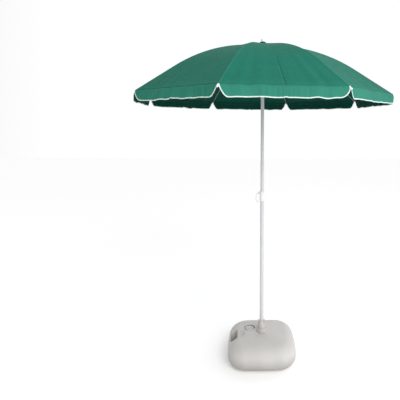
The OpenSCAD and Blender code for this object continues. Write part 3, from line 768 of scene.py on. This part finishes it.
def base_shell():
    """Blow-moulded base: a swollen rounded square with a crowned top, cut for cap, pole and hand."""
    side_high = BASE_H - TOP_CROWN
    rings = []
    for k in range(LOW_RINGS + 1):
        a = math.pi / 2 * k / LOW_RINGS
        rings.append((BOTTOM_EDGE * (1 - math.sin(a)), BOTTOM_EDGE * (1 - math.cos(a))))
    for k in range(HIGH_RINGS + 1):
        a = math.pi / 2 * k / HIGH_RINGS
        rings.append((TOP_EDGE * (1 - math.cos(a)), side_high - TOP_EDGE * (1 - math.sin(a))))
    for share in CROWN_RINGS:
        inset = TOP_EDGE + (BASE_HALF - TOP_EDGE - CROWN_FLAT) * share
        rings.append((inset, side_high + TOP_CROWN * (1 - (1 - share) ** 2)))
    loops = []
    for inset, z in rings:
        half = BASE_HALF - inset
        corner = max(0.012, min(BASE_CORNER - inset * 0.9, half * 0.95))
        puff = SIDE_PUFF * math.sin(math.pi * min(1, z / BASE_H))
        ring = rounded_ring(half, corner, z, puff=puff)
        loops.append([(*turn_base(x, y), z) for x, y, z in ring])
    body = lofted("base_shell", loops, BASE)

    slot = []
    for end in (-1, 1):
        for k in range(17):
            a = math.pi * k / 16 + (math.pi if end < 0 else 0)
            slot.append((-HANDLE_X + HANDLE_W / 2 * math.cos(a),
                         HANDLE_Y + end * (HANDLE_L - HANDLE_W) / 2 + HANDLE_W / 2 * math.sin(a)))
    slot = [turn_base(x, y) for x, y in slot]
    well = round_outline(0, 0, WELL_R + WELL_ROOM)
    recess = round_outline(CAP_X, CAP_Y, RECESS_R + RECESS_ROOM)
    neck = round_outline(CAP_X, CAP_Y, NECK_R)
    scoop = (*turn_base(-HANDLE_X + SCOOP_IN, HANDLE_Y), BASE_H + SCOOP_UP)
    dimple = (*turn_base(*DIMPLE_AT), BASE_H + DIMPLE_UP)
    tools = [
        cutter("tool_well", well, WELL_FLOOR, CUT_HIGH),
        cutter("tool_recess", recess, BASE_H - RECESS_H, CUT_HIGH),
        cutter("tool_neck", neck, BASE_H / 2, CUT_HIGH),
        cutter("tool_slot", slot, CUT_LOW, CUT_HIGH),
        bowl_cutter("tool_scoop", scoop, SCOOP_RADII, BASE_TURN),
        bowl_cutter("tool_dimple", dimple, DIMPLE_RADII),
    ]
    cut(body, tools)
    remesh = body.modifiers.new("remesh", "REMESH")
    remesh.mode, remesh.voxel_size = "VOXEL", VOXEL
    relax = body.modifiers.new("relax", "SMOOTH")
    relax.factor, relax.iterations = 0.5, 7
    apply_all(body)
    body.data.polygons.foreach_set("use_smooth", np.full(len(body.data.polygons), True))
    body.data.materials.clear()
    body.data.materials.append(BASE)
    return body


shell = base_shell()
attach(shell, "base")
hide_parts("base_tank")


# ---------------------------------------------------------------- CAD nodes that stay
FINISH = {
    "socket_sleeve": NUT, "clamp_nut": NUT, "filler_cap": NUT, "filler_seal": RUBBER,
    "lower_pole": POLE, "upper_pole": POLE, "pole_foot": FOOT, "lock_collar": WHITE, "lock_hook": WHITE,
    "lock_insert": BRASS, "lock_stud": STUD, "pole_bush": WHITE, "crown": WHITE, "crown_ring": WIRE,
    "top_washer": WASHER, "finial": TIP, "runner": WHITE, "runner_ring": WIRE, "catch_spring": WIRE,
}
for i in range(1, RIBS + 1):
    FINISH[f"rib_{i}"] = RIB_STEEL
    FINISH[f"rib_clip_{i}"] = WIRE
    FINISH[f"rib_tip_{i}"] = TIP
    FINISH[f"stretcher_{i}"] = RIB_STEEL
for name, material in FINISH.items():
    node = frame["nodes"][name]
    for node_slot in node.material_slots:
        node_slot.material = material


# ---------------------------------------------------------------- floor, light and camera
CAMERA_AWAY, CAMERA_HIGH = 2.47, 1.46
LENS, SENSOR = 34.95, 36.0
SHIFT_X, SHIFT_Y = -0.1560, -0.1893
ROLL = math.radians(-0.25)

# The studio is dimmer to the left of the camera and behind it
DIM_SIDE, BRIGHT_SIDE = 0.33, 1.02
TOWARDS_BRIGHT = (1.0, 0.8, 0.0)
DIM_AT, BRIGHT_AT = -1.0, 0.35

FLOOR_HALF, FLOOR_TONE, FLOOR_GLOW = 14.0, 0.93, 0.24

# Place, what it looks at, size and power of each light
LIGHTS = {
    "key": ((1.9, -3.5, 3.3), (0, 0, 1.0), 3.2, 88),
    "low_front": ((0.9, -2.6, 2.2), (0, 0, 0.1), 1.2, 9),
}


def floor():
    n = Nodes("pale_floor")
    n.set(Base_Color=rgb(FLOOR_TONE, FLOOR_TONE, FLOOR_TONE), Roughness=0.9, Specular_IOR_Level=0.1,
          Emission_Color=rgb(1.0, 1.0, 1.0), Emission_Strength=FLOOR_GLOW)
    corners = [(x * FLOOR_HALF, y * FLOOR_HALF, 0) for x, y in ((-1, -1), (1, -1), (1, 1), (-1, 1))]
    obj = piece("floor", corners, [(0, 1, 2, 3)], [n.material], smooth_faces=False)


def area_light(name, place, look_at, size, power):
    data = bpy.data.lights.new(name, "AREA")
    data.shape, data.size, data.energy = "DISK", size, power
    obj = bpy.data.objects.new(name, data)
    obj.location = place
    obj.rotation_euler = (Vector(look_at) - Vector(place)).to_track_quat("-Z", "Y").to_euler()
    bpy.context.scene.collection.objects.link(obj)


def backdrop():
    """White surroundings whose strength grows towards their bright side."""
    world = bpy.data.worlds.new("studio")
    bpy.context.scene.world = world
    world.use_nodes = True
    tree = world.node_tree
    where = tree.nodes.new("ShaderNodeTexCoord").outputs["Generated"]
    towards = tree.nodes.new("ShaderNodeVectorMath")
    towards.operation = "DOT_PRODUCT"
    towards.inputs[1].default_value = TOWARDS_BRIGHT
    tree.links.new(where, towards.inputs[0])
    wall = tree.nodes.new("ShaderNodeMapRange")
    span = {"From Min": DIM_AT, "From Max": BRIGHT_AT, "To Min": DIM_SIDE, "To Max": BRIGHT_SIDE}
    for key, value in span.items():
        wall.inputs[key].default_value = value
    wall.interpolation_type = "SMOOTHSTEP"
    tree.links.new(towards.outputs["Value"], wall.inputs["Value"])
    tree.nodes["Background"].inputs["Color"].default_value = rgb(1.0, 1.0, 1.0)
    tree.links.new(wall.outputs["Result"], tree.nodes["Background"].inputs["Strength"])


def add_camera():
    data = bpy.data.cameras.new("camera")
    data.lens, data.sensor_width, data.shift_x, data.shift_y = LENS, SENSOR, SHIFT_X, SHIFT_Y
    camera = bpy.data.objects.new("camera", data)
    camera.location = (0, -CAMERA_AWAY, CAMERA_HIGH)
    camera.rotation_euler = (math.pi / 2, ROLL, 0)
    bpy.context.scene.collection.objects.link(camera)
    bpy.context.scene.camera = camera


floor()
backdrop()
for light, values in LIGHTS.items():
    area_light(light, *values)
add_camera()
bpy.context.scene.view_settings.view_transform = "Standard"
